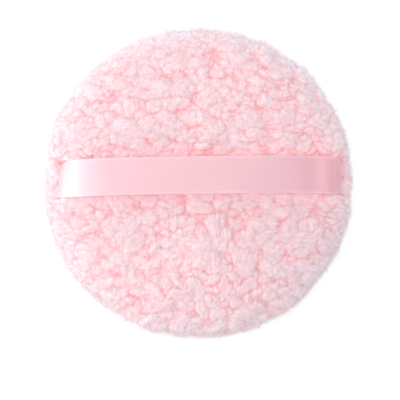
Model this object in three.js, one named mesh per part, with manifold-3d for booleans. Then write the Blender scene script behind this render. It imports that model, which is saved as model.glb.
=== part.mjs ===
// A round powder puff: two discs of curly fleece, sewn together round the rim over a crowned wadding
// pad, with a satin ribbon across the back for the fingers. The ribbon's tails are caught between the
// two seam allowances. Millimetres, +Z up. The puff lies on its powder side, with the ribbon on top and
// running along X. Inside the group the rim seam is at height zero, and the group is raised so that the
// puff rests on z = 0.
import * as THREE from 'three';
import { mergeVertices } from 'three/addons/utils/BufferGeometryUtils.js';
import Module from 'manifold-3d';

const wasm = await Module();
wasm.setup();

// The puff, measured over its pile
const puffRadius = 41;
const puffHalfThickness = 13.6;
const rollHeight = 2.4; // the puff is widest this far above and below its seam
const crownExponent = 2.25; // 2 is an ellipse, and more is a fuller pillow
const restingFlatDepth = 0.5; // the puff's own weight presses its underside in by this much

// The fleece
const clothThickness = 0.9;
const pileLength = 3.4;
const tuftSpacing = 6.5; // between the tips of the curly pile's main tufts
const tuftDepth = 0.9; // from a tuft's tip down to the hollows between the tufts

// The rim seam
const seamAllowance = 5;
const allowanceThickness = 1.6; // the turned-in cloth, with its pile squashed
const pileAtSeam = 0.1; // the pile that still stands out over the fold of the seam
const threadRadius = 0.2;
const stitchLength = 5.4;
const stitchInset = 0.8; // from where the cover is high enough for the stitches
const turningGap = 36; // the length left open to turn and fill the puff
const ladderStitchLength = 4;

// The ribbon
const ribbonWidth = 10;
const ribbonThickness = 0.4;
const ribbonStandOut = 0.1; // from the seam to where the ribbon turns up
const ribbonOffset = 1; // the ribbon is sewn this far off the puff's middle
const ribbonBendRadius = 1.2;
const ribbonExponent = 2.6; // how square the arch is at its two ends
const fingerGap = 5.4; // from the pile to the ribbon, at the middle

// Making
const clearance = 0.3; // between any two pieces that touch
const overrun = 3; // how far a cutting solid runs past what it cuts
const roundSteps = 48;
const crownSteps = 60; // only to measure along the crown
const rollSteps = 3;
const insideSteps = 4;
const archSteps = 22;
const bendSteps = 4;
const threadSides = 5;

// Worked out from those
const wall = clothThickness + pileLength;
const insideRadius = puffRadius - wall;
const insideHalfThickness = puffHalfThickness - wall;
const seamRadius = insideRadius + clothThickness + pileAtSeam;
const seamHalfGap = clearance / 2;
const seamHeight = puffHalfThickness - restingFlatDepth;
const allowanceTop = seamHalfGap + allowanceThickness;
const allowanceInnerRadius = insideRadius - seamAllowance;
const stitchHeight = allowanceTop + clearance + threadRadius;
const stitchRoom = stitchHeight + threadRadius + clearance;
const stitchReach = crownReach(insideRadius, allowanceTop, insideHalfThickness, stitchRoom);
const stitchRadius = stitchReach - stitchInset;
const ladderRadius = insideRadius;
const ladderHeight = seamHalfGap + allowanceThickness / 2;
const ribbonHalfSpan = seamRadius + ribbonStandOut;
const ribbonTop = puffHalfThickness + fingerGap + ribbonThickness;
const crownLine = new THREE.Path(
  crownProfile(puffRadius, rollHeight, puffHalfThickness, crownSteps),
);
const tuftRings = Math.round((crownLine.getLength() / tuftSpacing) * Math.sqrt(3));

// A run of numbers from 0 to 1, in so many steps.
function shares(steps) {
  return Array.from({ length: steps + 1 }, (_, i) => i / steps);
}

// A point of a crown: a superellipse with its top on the axis (turn 0) and its widest at its base
// (a quarter turn).
function crownPoint(radius, base, top, turn, exponent = crownExponent) {
  const out = Math.sin(turn) ** (2 / exponent);
  const up = Math.cos(turn) ** (2 / exponent);
  return new THREE.Vector2(radius * out, base + (top - base) * up);
}

// How far out that crown reaches at a height.
function crownReach(radius, base, top, height) {
  return radius * (1 - ((height - base) / (top - base)) ** crownExponent) ** (1 / crownExponent);
}

// A crown's outline from its top down to its base.
function crownProfile(radius, base, top, steps) {
  return shares(steps).map((s) => crownPoint(radius, base, top, (Math.PI / 2) * s));
}

// A closed geometry as a solid, for cutting and joining.
function solidOf(geometry) {
  const bare = geometry.clone();
  bare.deleteAttribute('normal');
  bare.deleteAttribute('uv');
  const merged = mergeVertices(bare);
  const corners = merged.index.array;
  const triVerts = [];
  for (let i = 0; i < corners.length; i += 3) {
    const [a, b, c] = corners.slice(i, i + 3);
    if (a !== b && b !== c && c !== a) triVerts.push(a, b, c);
  }
  return new wasm.Manifold(
    new wasm.Mesh({
      numProp: 3,
      vertProperties: new Float32Array(merged.attributes.position.array),
      triVerts: new Uint32Array(triVerts),
    }),
  );
}

function meshOf(name, solid, material) {
  const { vertProperties, triVerts, numProp } = solid.getMesh();
  const geometry = new THREE.BufferGeometry();
  geometry.setAttribute('position', new THREE.BufferAttribute(vertProperties, numProp));
  geometry.setIndex(new THREE.BufferAttribute(triVerts, 1));
  geometry.computeVertexNormals();
  const named = new THREE.Mesh(geometry, material);
  named.name = name;
  return named;
}

// A closed profile turned about the Z axis. The profile runs upwards on its outside.
function turned(profile) {
  const lathe = new THREE.LatheGeometry(profile, roundSteps);
  lathe.rotateX(Math.PI / 2);
  return solidOf(lathe);
}

function upsideDown(profile) {
  return profile.map((p) => new THREE.Vector2(p.x, -p.y)).reverse();
}

// One ring of points of a cover's outside. A point for which isLow holds is taken from the lower line.
function ringPoints(count, tip, low, isLow) {
  return Array.from({ length: count }, (_, k) => {
    const angle = (2 * Math.PI * k) / count;
    const { x, y } = isLow(k) ? low : tip;
    return new THREE.Vector3(x * Math.cos(angle), x * Math.sin(angle), y);
  });
}

// The crown's rings, from its top out to its widest. Each has six points more than the one inside it, so
// the points lie in threes: one is the tip of a tuft, and two lie in the hollows round the tufts.
function crownRings() {
  const tips = crownLine.getSpacedPoints(tuftRings);
  const lows = besideLine(tips, -tuftDepth);
  return tips.map((tip, ring) => {
    const isLow = (k) => ring < tuftRings && (ring + (k % Math.max(ring, 1))) % 3 !== 0;
    return ringPoints(Math.max(6 * ring, 1), tip, lows[ring], isLow);
  });
}

// The rings of the roll, a quarter ellipse from the widest ring in and down to the rim seam.
function rollRings() {
  return shares(rollSteps)
    .slice(1)
    .map((s) => {
      const turn = (Math.PI / 2) * s;
      const out = seamRadius + (puffRadius - seamRadius) * Math.cos(turn);
      const up = rollHeight - (rollHeight - seamHalfGap) * Math.sin(turn);
      const point = new THREE.Vector2(out, up);
      return ringPoints(6 * tuftRings, point, point, () => false);
    });
}

// The triangles from one ring of the crown to the next, which has one point more in each sixth of the way
// round. Inner and outer turn a place on their ring into the number of the point there.
function crownBand(ring, inner, outer) {
  const corners = [];
  for (let sixth = 0; sixth < 6; sixth++) {
    for (let place = 0; place < ring; place++) {
      const near = sixth * (ring - 1) + place;
      const far = sixth * ring + place;
      corners.push(inner(near), outer(far), outer(far + 1));
      if (place < ring - 1) corners.push(inner(near), outer(far + 1), inner(near + 1));
    }
  }
  return corners;
}

// The triangles from one ring of the roll to the next, which has as many points.
function rollBand(count, inner, outer) {
  const corners = [];
  for (let k = 0; k < count; k++) {
    corners.push(inner(k), outer(k), outer(k + 1));
    corners.push(inner(k), outer(k + 1), inner(k + 1));
  }
  return corners;
}

// The triangles from a ring to the one point in its middle.
function fan(count, ring, middle) {
  return Array.from({ length: count }, (_, k) => [ring(k), middle(0), ring(k + 1)]).flat();
}

// One cover's outside, closed across the seam.
function outsideGeometry() {
  const rings = [...crownRings(), ...rollRings(), [new THREE.Vector3(0, 0, seamHalfGap)]];
  const corners = [];
  let start = 0;
  rings.slice(1).forEach((next, i) => {
    const count = rings[i].length;
    const first = start;
    const inner = (k) => first + (k % count);
    const outer = (k) => first + count + (k % next.length);
    if (next.length > count) corners.push(...crownBand(i + 1, inner, outer));
    if (next.length === count) corners.push(...rollBand(count, inner, outer));
    if (next.length < count) corners.push(...fan(count, inner, outer));
    start += count;
  });
  const geometry = new THREE.BufferGeometry().setFromPoints(rings.flat());
  geometry.setIndex(corners);
  return geometry;
}

// The room inside a cover, from below the seam up past the seam allowance to the top of the crown.
function insideProfile() {
  const below = seamHalfGap - overrun;
  return [
    new THREE.Vector2(0, below),
    new THREE.Vector2(allowanceInnerRadius, below),
    new THREE.Vector2(allowanceInnerRadius, allowanceTop),
    ...crownProfile(insideRadius, allowanceTop, insideHalfThickness, insideSteps).reverse(),
  ];
}

// The wadding, crowned on both sides, with a slot round its edge for the seam allowances and stitches.
function waddingPad() {
  const padRadius = insideRadius - clearance;
  const padTop = insideHalfThickness - clearance;
  const upper = crownProfile(padRadius, allowanceTop, padTop, insideSteps).reverse();
  const slotInner = allowanceInnerRadius - clearance;
  const slotOuter = insideRadius + overrun;
  const slot = [
    new THREE.Vector2(slotInner, -stitchRoom),
    new THREE.Vector2(slotOuter, -stitchRoom),
    new THREE.Vector2(slotOuter, stitchRoom),
    new THREE.Vector2(slotInner, stitchRoom),
    new THREE.Vector2(slotInner, -stitchRoom),
  ];
  return turned([...upsideDown(upper), ...upper]).subtract(turned(slot));
}

// The ribbon's line in X and Z: out along the allowance, up out of the seam, over the fingers and down.
function ribbonLine(tailEnd) {
  const archBase = ribbonBendRadius;
  const archTop = ribbonTop - ribbonThickness / 2;
  const bendFrom = ribbonHalfSpan - ribbonBendRadius;
  const bend = shares(bendSteps).map((s) => {
    const turn = (Math.PI / 2) * s;
    return new THREE.Vector2(
      bendFrom + ribbonBendRadius * Math.sin(turn),
      ribbonBendRadius * (1 - Math.cos(turn)),
    );
  });
  const arch = shares(archSteps)
    .slice(1)
    .map((s) => {
      const turn = (Math.PI / 2) * (1 - s);
      return crownPoint(ribbonHalfSpan, archBase, archTop, turn, ribbonExponent);
    });
  arch.at(-1).x = 0;
  const half = [new THREE.Vector2(tailEnd, 0), ...bend, ...arch];
  const otherHalf = half.slice(0, -1).map((p) => new THREE.Vector2(-p.x, p.y));
  return [...half, ...otherHalf.reverse()];
}

// That line moved sideways, towards the fingers where the distance is above zero.
function besideLine(line, distance) {
  return line.map((point, i) => {
    const before = line[Math.max(i - 1, 0)];
    const after = line[Math.min(i + 1, line.length - 1)];
    const along = after.clone().sub(before).normalize();
    return new THREE.Vector2(point.x - distance * along.y, point.y + distance * along.x);
  });
}

// An outline in X and Z made as wide as the ribbon, with a margin on each side of it.
function ribbonWide(outline, margin) {
  const strip = new THREE.ExtrudeGeometry(new THREE.Shape(outline), {
    depth: ribbonWidth + 2 * margin,
    bevelEnabled: false,
  });
  strip.rotateX(Math.PI / 2).translate(0, ribbonOffset + ribbonWidth / 2 + margin, 0);
  return solidOf(strip);
}

function ribbon() {
  const line = ribbonLine(allowanceInnerRadius);
  const half = ribbonThickness / 2;
  return ribbonWide([...besideLine(line, half), ...besideLine(line, -half).reverse()], 0);
}

// The room for the ribbon and for all that lies outside it, where it presses the pile of the top cover
// in.
function ribbonSlot() {
  const tailEnd = allowanceInnerRadius - overrun;
  const half = ribbonThickness / 2 + clearance;
  const far = puffRadius + overrun;
  const high = ribbonTop + overrun;
  const around = [
    new THREE.Vector2(-tailEnd, -half),
    new THREE.Vector2(-far, -half),
    new THREE.Vector2(-far, high),
    new THREE.Vector2(far, high),
    new THREE.Vector2(far, -half),
    new THREE.Vector2(tailEnd, -half),
  ];
  return ribbonWide([...besideLine(ribbonLine(tailEnd), half), ...around], clearance);
}

// The angles round the puff at which a row of stitches crosses the seam.
function stitchAngles(radius, length, from, to) {
  const stitches = Math.round((radius * (to - from)) / length);
  return shares(stitches).map((s) => from + (to - from) * s);
}

// A thread that crosses the seam at each of those angles, and runs above the seam and below it in turn.
// It is a tube of straight lengths, mitred where they meet.
function stitchedThread(angles, radius, height, tubeRadius) {
  const path = [];
  angles.forEach((angle, i) => {
    const z = i % 2 === 0 ? height : -height;
    if (i > 0) path.push({ angle, z: -z });
    if (i < angles.length - 1) path.push({ angle, z });
  });
  const centres = path.map(
    ({ angle, z }) => new THREE.Vector3(radius * Math.cos(angle), radius * Math.sin(angle), z),
  );
  const points = [];
  centres.forEach((centre, i) => {
    const last = centres.length - 1;
    const into = centre.clone().sub(centres[Math.max(i - 1, 0)]).normalize();
    const outOf = centres[Math.min(i + 1, last)].clone().sub(centre).normalize();
    if (i === 0) into.copy(outOf);
    if (i === last) outOf.copy(into);
    const halfway = into.clone().add(outOf).normalize();
    const outward = new THREE.Vector3(Math.cos(path[i].angle), Math.sin(path[i].angle), 0);
    const across = halfway.clone().cross(outward).normalize();
    const mitre = 1 / halfway.dot(outOf);
    for (let k = 0; k < threadSides; k++) {
      const turn = (2 * Math.PI * k) / threadSides;
      const point = centre.clone().addScaledVector(outward, tubeRadius * Math.cos(turn));
      points.push(point.addScaledVector(across, mitre * tubeRadius * Math.sin(turn)));
    }
  });
  return solidOf(tubeGeometry(points, centres.length));
}

// Closes a run of rings of points into a tube with a flat end at each end.
function tubeGeometry(points, rings) {
  const corners = [];
  for (let ring = 0; ring < rings - 1; ring++) {
    for (let k = 0; k < threadSides; k++) {
      const a = ring * threadSides + k;
      const b = ring * threadSides + ((k + 1) % threadSides);
      corners.push(a, b, a + threadSides, b, b + threadSides, a + threadSides);
    }
  }
  const last = (rings - 1) * threadSides;
  for (let k = 1; k < threadSides - 1; k++) {
    corners.push(0, k + 1, k, last, last + k, last + k + 1);
  }
  const geometry = new THREE.BufferGeometry().setFromPoints(points);
  geometry.setIndex(corners);
  return geometry;
}

// The holes that the needle leaves, through both allowances and the ribbon's tails.
function needleHoles(angles) {
  const radius = threadRadius + clearance;
  return angles
    .map((angle) => {
      const hole = new THREE.CylinderGeometry(radius, radius, 2 * stitchHeight, threadSides);
      hole.rotateX(Math.PI / 2);
      hole.translate(stitchRadius * Math.cos(angle), stitchRadius * Math.sin(angle), 0);
      return solidOf(hole);
    })
    .reduce((joined, hole) => joined.add(hole));
}

// What the puff's weight flattens, below the face that it rests on.
function underFloor() {
  const wide = 2 * (puffRadius + overrun);
  const block = new THREE.BoxGeometry(wide, wide, overrun);
  block.translate(0, 0, -seamHeight - overrun / 2);
  return solidOf(block);
}

// Materials
const fleece = new THREE.MeshStandardMaterial({ color: 0xf9d2d8, roughness: 0.95, metalness: 0 });
const satin = new THREE.MeshStandardMaterial({ color: 0xf8c4d2, roughness: 0.35, metalness: 0 });
const cotton = new THREE.MeshStandardMaterial({ color: 0xf6c3cb, roughness: 0.85, metalness: 0 });
const polyester = new THREE.MeshStandardMaterial({ color: 0xf8f6f4, roughness: 0.95, metalness: 0 });

// The turning gap is at the puff's +Y side, halfway between the ribbon's ends.
const gapMiddle = Math.PI / 2;
const gapFrom = gapMiddle - turningGap / 2 / ladderRadius;
const gapTo = gapMiddle + turningGap / 2 / ladderRadius;
const gapAngles = stitchAngles(ladderRadius, ladderStitchLength, gapFrom, gapTo);
const rimAngles = stitchAngles(stitchRadius, stitchLength, gapTo, gapFrom + 2 * Math.PI);

const outside = outsideGeometry();
const inside = insideProfile();
const threadRoom = needleHoles(rimAngles).add(
  stitchedThread(gapAngles, ladderRadius, ladderHeight, threadRadius + clearance),
);
const topCover = solidOf(outside)
  .subtract(turned(inside))
  .subtract(threadRoom)
  .subtract(ribbonSlot());
const powderCover = solidOf(outside.clone().rotateX(Math.PI))
  .subtract(turned(upsideDown(inside)))
  .subtract(threadRoom)
  .subtract(ribbonSlot())
  .subtract(underFloor());
const threadedRibbon = ribbon().subtract(threadRoom);
const rimThread = stitchedThread(rimAngles, stitchRadius, stitchHeight, threadRadius);
const closingThread = stitchedThread(gapAngles, ladderRadius, ladderHeight, threadRadius);

const puff = new THREE.Group();
puff.position.z = seamHeight;
puff.add(
  meshOf('top_cover', topCover, fleece),
  meshOf('powder_side_cover', powderCover, fleece),
  meshOf('wadding_pad', waddingPad(), polyester),
  meshOf('finger_ribbon', threadedRibbon, satin),
  meshOf('rim_seam_thread', rimThread, cotton),
  meshOf('closing_thread', closingThread, cotton),
);

export default puff;
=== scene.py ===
"""A pink powder puff of curly fleece with a satin ribbon across its back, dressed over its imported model.

Lengths are metres. The puff lies on its powder side, +Z up, with its ribbon along X. While a shape is worked
out, its heights are measured from the rim seam. SEAM_Z is added to them at the end.
"""

import math

import bpy
import numpy as np
from bpy.props import FloatProperty, FloatVectorProperty, IntProperty, PointerProperty
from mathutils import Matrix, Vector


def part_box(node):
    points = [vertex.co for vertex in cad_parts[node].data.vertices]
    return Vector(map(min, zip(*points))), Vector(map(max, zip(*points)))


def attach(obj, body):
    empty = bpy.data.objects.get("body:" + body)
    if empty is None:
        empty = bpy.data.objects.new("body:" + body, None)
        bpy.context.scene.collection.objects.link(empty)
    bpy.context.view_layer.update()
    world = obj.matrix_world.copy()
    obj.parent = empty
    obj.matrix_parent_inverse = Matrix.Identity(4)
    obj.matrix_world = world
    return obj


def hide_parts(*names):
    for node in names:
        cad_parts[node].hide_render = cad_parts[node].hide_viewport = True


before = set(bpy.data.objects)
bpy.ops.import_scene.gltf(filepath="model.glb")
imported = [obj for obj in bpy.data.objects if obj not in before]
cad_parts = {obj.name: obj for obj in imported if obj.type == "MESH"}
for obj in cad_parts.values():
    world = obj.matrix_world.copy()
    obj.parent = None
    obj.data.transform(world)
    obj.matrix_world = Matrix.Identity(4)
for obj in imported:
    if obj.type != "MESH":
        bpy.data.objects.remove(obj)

bl_info = {
    "name": "Powder Puff",
    "version": (1, 0, 0),
    "blender": (4, 5, 0),
    "location": "3D View > Sidebar > Puff",
    "description": "Makes a curly fleece powder puff with a satin finger ribbon",
    "category": "Add Mesh",
}

ROOT = "root"

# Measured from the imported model
TOP_LOW, TOP_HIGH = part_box("top_cover")
_, UNDER_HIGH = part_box("powder_side_cover")
RIBBON_LOW, RIBBON_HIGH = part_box("finger_ribbon")
_, WADDING_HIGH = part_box("wadding_pad")
_, RIM_THREAD_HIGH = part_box("rim_seam_thread")
_, GAP_THREAD_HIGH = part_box("closing_thread")
PUFF_RADIUS = UNDER_HIGH.y
SEAM_Z = (TOP_LOW.z + UNDER_HIGH.z) / 2
SEAM_HALF_GAP = TOP_LOW.z - SEAM_Z
HALF_THICKNESS = TOP_HIGH.z - SEAM_Z
RIBBON_WIDTH = RIBBON_HIGH.y - RIBBON_LOW.y
RIBBON_Y = (RIBBON_HIGH.y + RIBBON_LOW.y) / 2

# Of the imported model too, but not to be read off its boxes
ROLL_HEIGHT = 0.0024
CROWN_EXPONENT = 2.25
SEAM_RADIUS = 0.0377
WALL = 0.0043
SEAM_ALLOWANCE = 0.005
ALLOWANCE_THICKNESS = 0.0016
CAD_RIBBON_THICKNESS = 0.0004
RIBBON_BEND = 0.0012
RIBBON_EXPONENT = 2.6
CLEARANCE = 0.0003
STITCH_LENGTH = 0.0054
LADDER_STITCH = 0.004
TURNING_GAP = 0.036
CAD_THREAD_RADIUS = 0.0002

# The ribbon's two ends: how far out along X they begin, how far the -X end is pulled in at its +Y edge, and
# the part of X over which that pull grows
RIBBON_END = 0.034
END_SKEW = 0.0017
SKEWED_PART = (0.030, 0.036)

# The pile: the size and depth of the noises that bend its nubs, its curls, its swells and its deeper creases,
# and how far the ribbon presses it in where its painted shade and painted glow are full
WIDE_BEND = (0.0026, 0.0010)
FINE_BEND = (0.0009, 0.0004)
CURL_WIDTH = 0.0011
CURL_BEND_SIZE = 0.0016
FINE_CURL_WIDTH = 0.00045
SWELL_SIZE = 0.0045
SWELL_HEIGHT = 0.00025
DEEP_PART_SIZE = 0.0042
FULLY_PRESSED = 0.0008

# Where the pile beside the ribbon gets a painted glow, painted shade just above it, and painted light just
# below it. A side is how far from the ribbon's middle line, and a part is where along X. Of two numbers the
# first is where it starts, and the second where it is full. The band of painted light below the ribbon has a
# middle and a half width.
LIT_SIDE = (0.009, 0.003)
LIT_PART = (0.039, 0.031)
SHADE_ABOVE_SIDE = (0.0077, 0.0055)
SHADE_ABOVE_PART = (-0.028, -0.008)
LIGHT_BELOW_MIDDLE = 0.0052
LIGHT_BELOW_HALF_WIDTH = 0.0022

# The same for the rim round the ribbon's two ends, and for the locks of fibre there
END_SIDE = (0.0085, 0.0055)
END_PART = (RIBBON_END, 0.036)
END_HEIGHT = (0.0042, 0.0022)
END_LOCKS_SIDE = 0.007

# The filling's slot, the threads' twist, and the points of a lock of fibre
SLOT_FLOOR = 0.0028
THREAD_STEP = 0.00022
PLY_TURN = 0.0009
LOCK_POINTS = 7

# The painted glow in fleece and satin, the fleece's sheen, and the painted light at the puff's rim
FLEECE_GLOW = (1.0, 0.55, 0.58)
SATIN_GLOW = (1.0, 0.42, 0.52)
FLEECE_SHEEN = (1.0, 0.80, 0.84)
RIM_LIGHT_COLOUR = (0.92, 0.94, 0.97)

# Where the photograph has the puff, in its own pixels
PHOTO_PIXELS = 400
PUFF_PIXELS = 307
PUFF_COLUMN = 202.6
PUFF_ROW = 183.5


class PuffSizes(bpy.types.PropertyGroup):
    """What a user would change about the puff's shape."""

    nub_pitch: FloatProperty(
        name="Nub pitch",
        description="From one curl of the pile to the next",
        default=0.0029,
        unit="LENGTH",
    )
    nub_height: FloatProperty(
        name="Nub height",
        description="From the dips of the pile to its tips",
        default=0.0011,
        unit="LENGTH",
    )
    curl_depth: FloatProperty(
        name="Curl depth",
        description="Relief of the small curls on each nub",
        default=0.00022,
        unit="LENGTH",
    )
    pile_mesh: IntProperty(
        name="Pile mesh", description="Points along each side of a cover's grid", default=269
    )
    lock_length: FloatProperty(
        name="Lock length",
        description="Length of the longest plain locks of fibre",
        default=0.0016,
        unit="LENGTH",
    )
    lock_width: FloatProperty(
        name="Lock width", description="Thickness of a lock at its root", default=0.00014, unit="LENGTH"
    )
    locks: IntProperty(
        name="Locks", description="Most locks of fibre in each fuzz piece", default=18000
    )
    ribbon_thickness: FloatProperty(
        name="Ribbon thickness", description="Thickness of the satin", default=0.0003, unit="LENGTH"
    )
    ribbon_bow: FloatProperty(
        name="Ribbon bow",
        description="How far the ribbon's middle stands above its edges",
        default=0.00012,
        unit="LENGTH",
    )
    thread_ply: FloatProperty(
        name="Thread ply",
        description="Thickness of each of a thread's two plies",
        default=0.0002,
        unit="LENGTH",
    )


class PuffColours(bpy.types.PropertyGroup):
    """Its colours, as linear values."""

    pile_tip: FloatVectorProperty(
        name="Pile tips", description="The nubs' own colour", default=(0.98, 0.79, 0.824), subtype="COLOR"
    )
    # Painted shade: the colour that the creases' shade gives the pile
    pile_crease_shade: FloatVectorProperty(
        name="Pile dips",
        description="The creases between the nubs",
        default=(0.975, 0.335, 0.36),
        subtype="COLOR",
    )
    ribbon: FloatVectorProperty(
        name="Ribbon", description="The satin", default=(0.685, 0.355, 0.42), subtype="COLOR"
    )
    selvedge: FloatVectorProperty(
        name="Selvedge",
        description="The ribbon's two edges",
        default=(0.74, 0.44, 0.495),
        subtype="COLOR",
    )
    thread: FloatVectorProperty(
        name="Thread", description="The sewing thread", default=(0.92, 0.54, 0.59), subtype="COLOR"
    )
    wadding: FloatVectorProperty(
        name="Wadding", description="The filling", default=(0.93, 0.92, 0.90), subtype="COLOR"
    )


class StageSettings(bpy.types.PropertyGroup):
    """The light and the camera."""

    camera_distance: FloatProperty(
        name="Camera distance", description="From the seam to the camera", default=1.2, unit="LENGTH"
    )
    camera_tilt: FloatProperty(
        name="Camera tilt",
        description="How far the camera leans off straight down",
        default=math.radians(3.5),
        unit="ROTATION",
    )
    camera_roll: FloatProperty(
        name="Camera roll",
        description="How far the ribbon rises to the right",
        default=math.radians(0.8),
        unit="ROTATION",
    )
    world_strength: FloatProperty(
        name="World strength", description="Light from all round", default=0.95
    )
    key_power: FloatProperty(
        name="Key power", description="Softbox at the left, in watts", default=0.4
    )
    fill_power: FloatProperty(
        name="Fill power", description="Softbox at the right, in watts", default=0.2
    )
    top_power: FloatProperty(
        name="Top power", description="Softbox over the puff, in watts", default=0.82
    )


# Meshes


def new_piece(name, points, face_sets, material, nodes=(), smooth=True):
    """Makes a mesh on the root body from arrays of points and faces. Each face set has faces of one size."""
    mesh = bpy.data.meshes.new(name)
    corners = np.concatenate([faces.ravel() for faces in face_sets]).astype(np.int32)
    sizes = np.concatenate([np.full(len(faces), faces.shape[1]) for faces in face_sets])
    starts = np.concatenate([[0], np.cumsum(sizes)[:-1]]).astype(np.int32)
    mesh.vertices.add(len(points))
    mesh.vertices.foreach_set("co", points.astype(np.float32).ravel())
    mesh.loops.add(len(corners))
    mesh.loops.foreach_set("vertex_index", corners)
    mesh.polygons.add(len(sizes))
    mesh.polygons.foreach_set("loop_start", starts)
    mesh.update(calc_edges=True)
    mesh.polygons.foreach_set("use_smooth", np.full(len(sizes), smooth))
    mesh.materials.append(material)
    piece = bpy.data.objects.new(name, mesh)
    bpy.context.scene.collection.objects.link(piece)
    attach(piece, ROOT)
    if nodes:
        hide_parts(*nodes)
    return piece


def set_attribute(piece, name, values):
    """Stores one number for each point of a piece, for its material to read."""
    attribute = piece.data.attributes.new(name, "FLOAT", "POINT")
    attribute.data.foreach_set("value", values.astype(np.float32))


def strip_quads(rows, columns, closed_rows=False, closed_columns=False):
    """Quads of a grid whose point (row, column) has the number row * columns + column."""
    row = np.arange(rows if closed_rows else rows - 1)[:, None]
    column = np.arange(columns if closed_columns else columns - 1)[None, :]
    next_row = (row + 1) % rows
    next_column = (column + 1) % columns
    quads = np.stack(
        np.broadcast_arrays(
            row * columns + column,
            row * columns + next_column,
            next_row * columns + next_column,
            next_row * columns + column,
        ),
        axis=-1,
    )
    return quads.reshape(-1, 4)


def unit(vectors):
    """The vectors at length one."""
    return vectors / np.maximum(np.linalg.norm(vectors, axis=-1, keepdims=True), 1e-12)


def ramp(values, start, end):
    """From 0 to 1 as the values go from a start to an end, which may be the lower of the two."""
    return np.clip((values - start) / (end - start), 0, 1)


def arc_lengths(x, z):
    """How far along a line each of its points is."""
    return np.concatenate([[0], np.cumsum(np.hypot(np.diff(x), np.diff(z)))])


# Shapes


def puff_outline(inset, steps=600):
    """Half of the puff's outline: arc length, radius, height above the seam, and the outward direction.

    The crown is a superellipse, (r / R)^n + ((z - roll) / (H - roll))^n = 1, down to the roll's height. From
    there a quarter ellipse turns in to the seam. The outline is then moved inwards by the inset.
    """
    turn = np.linspace(0, np.pi / 2, steps)
    crown_r = PUFF_RADIUS * np.sin(turn) ** (2 / CROWN_EXPONENT)
    crown_z = ROLL_HEIGHT + (HALF_THICKNESS - ROLL_HEIGHT) * np.cos(turn) ** (2 / CROWN_EXPONENT)
    roll_r = SEAM_RADIUS + (PUFF_RADIUS - SEAM_RADIUS) * np.cos(turn[1:])
    roll_z = ROLL_HEIGHT * (1 - np.sin(turn[1:]))
    r = np.concatenate([crown_r, roll_r])
    z = np.concatenate([crown_z, roll_z])
    along = unit(np.stack([np.gradient(r), np.gradient(z)], axis=-1))
    out_r, out_z = -along[:, 1], along[:, 0]
    r = r - inset * out_r
    z = z - inset * out_z
    r[0] = 0
    return arc_lengths(r, z), r, z, out_r, out_z


def on_outline(outline, arc_length, angle):
    """Points of the turned outline at an arc length from its top and an angle, and the way outward."""
    arc, r, z, out_r, out_z = outline
    radius = np.interp(arc_length, arc, r)
    height = np.interp(arc_length, arc, z)
    side = np.interp(arc_length, arc, out_r)
    up = np.interp(arc_length, arc, out_z)
    points = np.stack([radius * np.cos(angle), radius * np.sin(angle), height], axis=-1)
    outward = np.stack([side * np.cos(angle), side * np.sin(angle), up], axis=-1)
    return points, unit(outward)


def disc_grid(count):
    """A square grid bent into a disc: the squares round its middle become circles.

    For |a| >= |b| a grid point is at the radius a and the angle (pi / 4) b / a, and otherwise at the radius
    b and the angle pi / 2 - (pi / 4) a / b. Returns each point's share of the way out, from 0 to 1, and its
    angle.
    """
    line = np.linspace(-1, 1, count)
    a, b = np.meshgrid(line, line)
    sideways = np.abs(a) >= np.abs(b)
    reach = np.where(sideways, a, b)
    divisor = np.where(reach == 0, 1, reach)
    turn = np.where(sideways, np.pi / 4 * b / divisor, np.pi / 2 - np.pi / 4 * a / divisor)
    x, y = reach * np.cos(turn), reach * np.sin(turn)
    return np.abs(reach).ravel(), np.arctan2(y, x).ravel()


def grid_rim(count):
    """The numbers of the points round such a grid's edge, counterclockwise."""
    number = np.arange(count * count).reshape(count, count)
    return np.concatenate([number[0, :-1], number[:-1, -1], number[-1, :0:-1], number[:0:-1, 0]])


def soft_noise(points, size, seed):
    """Smooth noise from about -1 to 1 that changes over a given size.

    The eight corners of the random lattice's cube round each point are blended by 3 t^2 - 2 t^3.
    """
    lattice, shift = 24, 1000
    rng = np.random.default_rng(seed)
    values = rng.uniform(-1, 1, (lattice, lattice, lattice))
    scaled = points / size + shift
    whole = np.floor(scaled).astype(int)
    part = scaled - whole
    part = part * part * (3 - 2 * part)
    total = np.zeros(len(points))
    for corner in np.ndindex(2, 2, 2):
        weight = np.prod(np.where(corner, part, 1 - part), axis=-1)
        i, j, k = ((whole + corner) % lattice).T
        total += weight * values[i, j, k]
    return total


def warped(points, size, depth, seed):
    """The points moved by soft noise of that size and depth, which bends whatever is read at them."""
    moves = [soft_noise(points, size, seed + axis) for axis in range(3)]
    return points + depth * np.stack(moves, axis=-1)


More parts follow.
